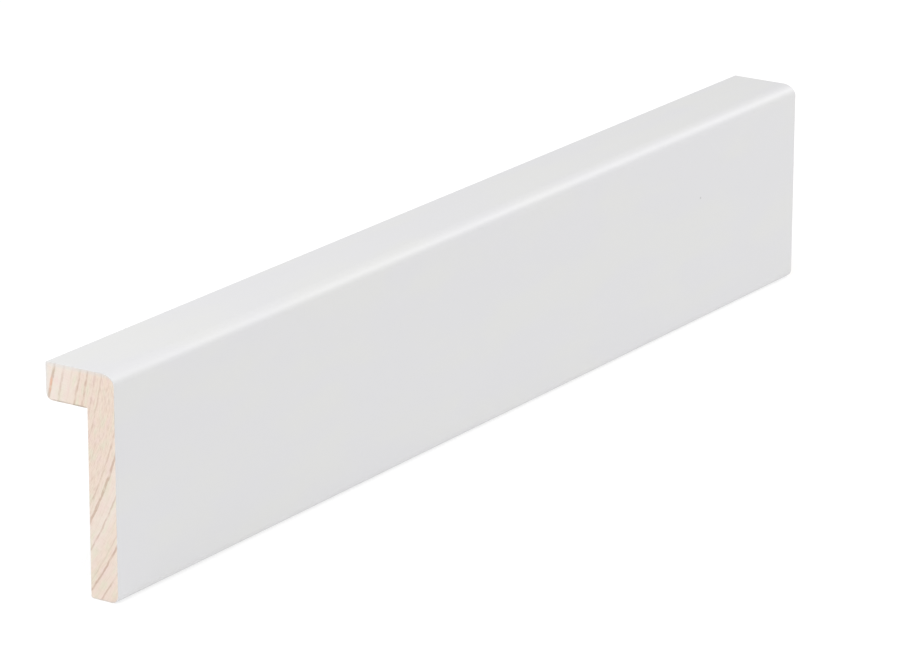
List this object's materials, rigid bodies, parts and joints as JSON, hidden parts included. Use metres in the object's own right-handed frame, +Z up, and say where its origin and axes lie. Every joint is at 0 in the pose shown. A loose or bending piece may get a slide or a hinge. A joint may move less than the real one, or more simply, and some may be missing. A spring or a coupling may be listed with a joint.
{
  "type": "angle trim moulding",
  "caption": "White-painted wooden angle moulding: a thin leg with a thicker rebated flange on top, for covering the edge of a board or panel.",
  "frame": {"origin": "middle of the leg's flat back face, which is fixed against the face of the board that the moulding trims", "axes": "+X along the length, the painted show face looks to -Y, +Z up; the flange is on top and reaches back to +Y"},
  "size_m": [0.235, 0.015, 0.042],
  "materials": {
    "painted_pine": "satin white paint on the long faces, bare pale pine end grain on the two cut ends"
  },
  "bodies": {
    "root": {"angle_moulding": "painted_pine"}
  },
  "joints": []
}
